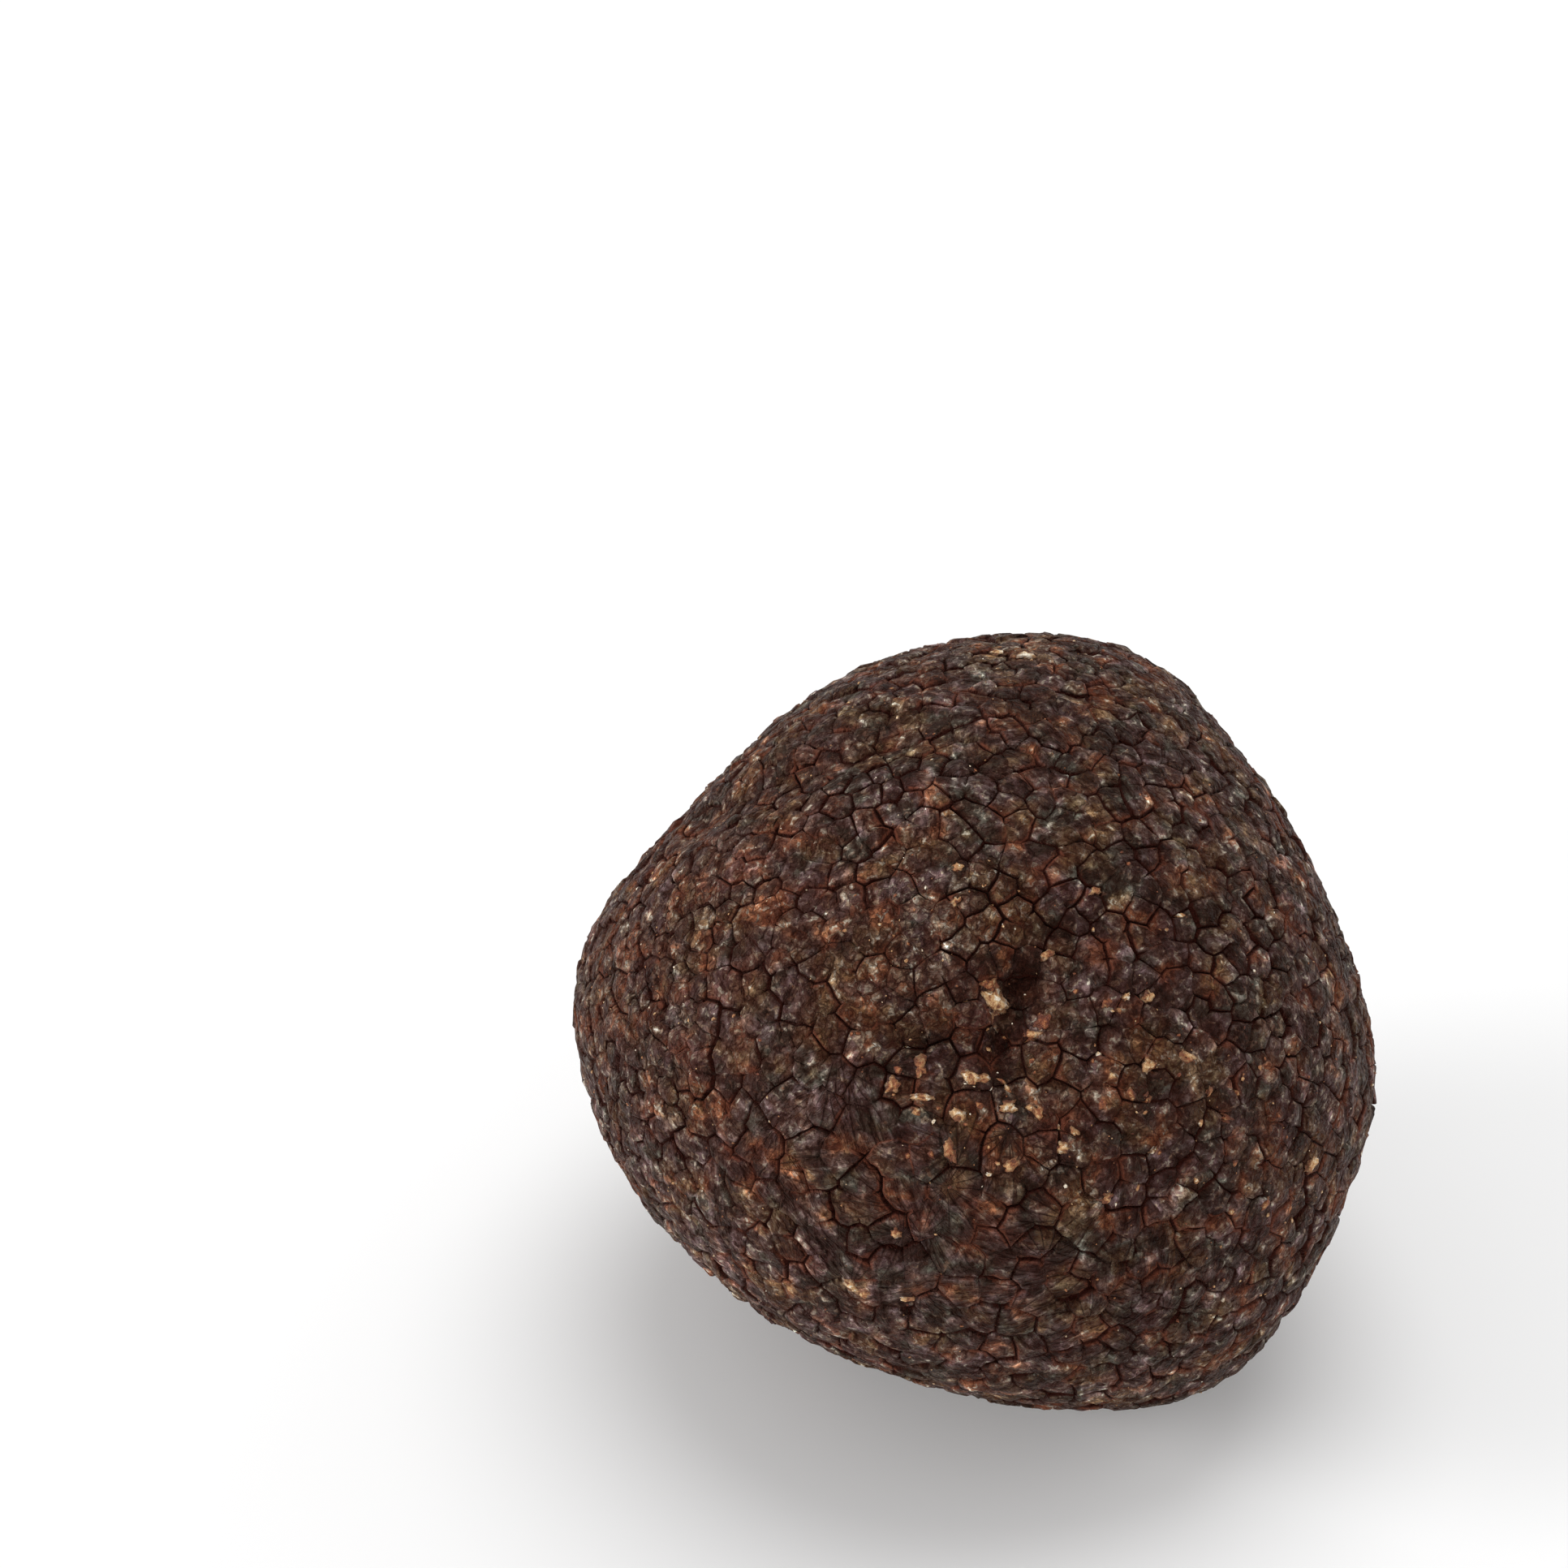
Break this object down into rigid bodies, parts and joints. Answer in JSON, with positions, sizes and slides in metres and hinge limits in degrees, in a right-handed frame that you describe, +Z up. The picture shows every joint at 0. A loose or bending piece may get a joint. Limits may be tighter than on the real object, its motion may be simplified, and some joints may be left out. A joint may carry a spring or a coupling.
{
  "type": "black truffle",
  "caption": "Whole black truffle lying on a surface: a lumpy round fungus whose dark brown skin is cracked into low polygonal warts.",
  "frame": {"origin": "middle of the small flat spot that the truffle rests on", "axes": "+Z up from the surface it lies on, +X towards its right end and -Y towards the side with the hollow"},
  "size_m": [0.0556, 0.0539, 0.0501],
  "materials": {
    "peridium": "dry, matt and cracked dark brown skin with rust-brown and tan flecks"
  },
  "bodies": {
    "root": {"truffle": "peridium"}
  },
  "joints": []
}
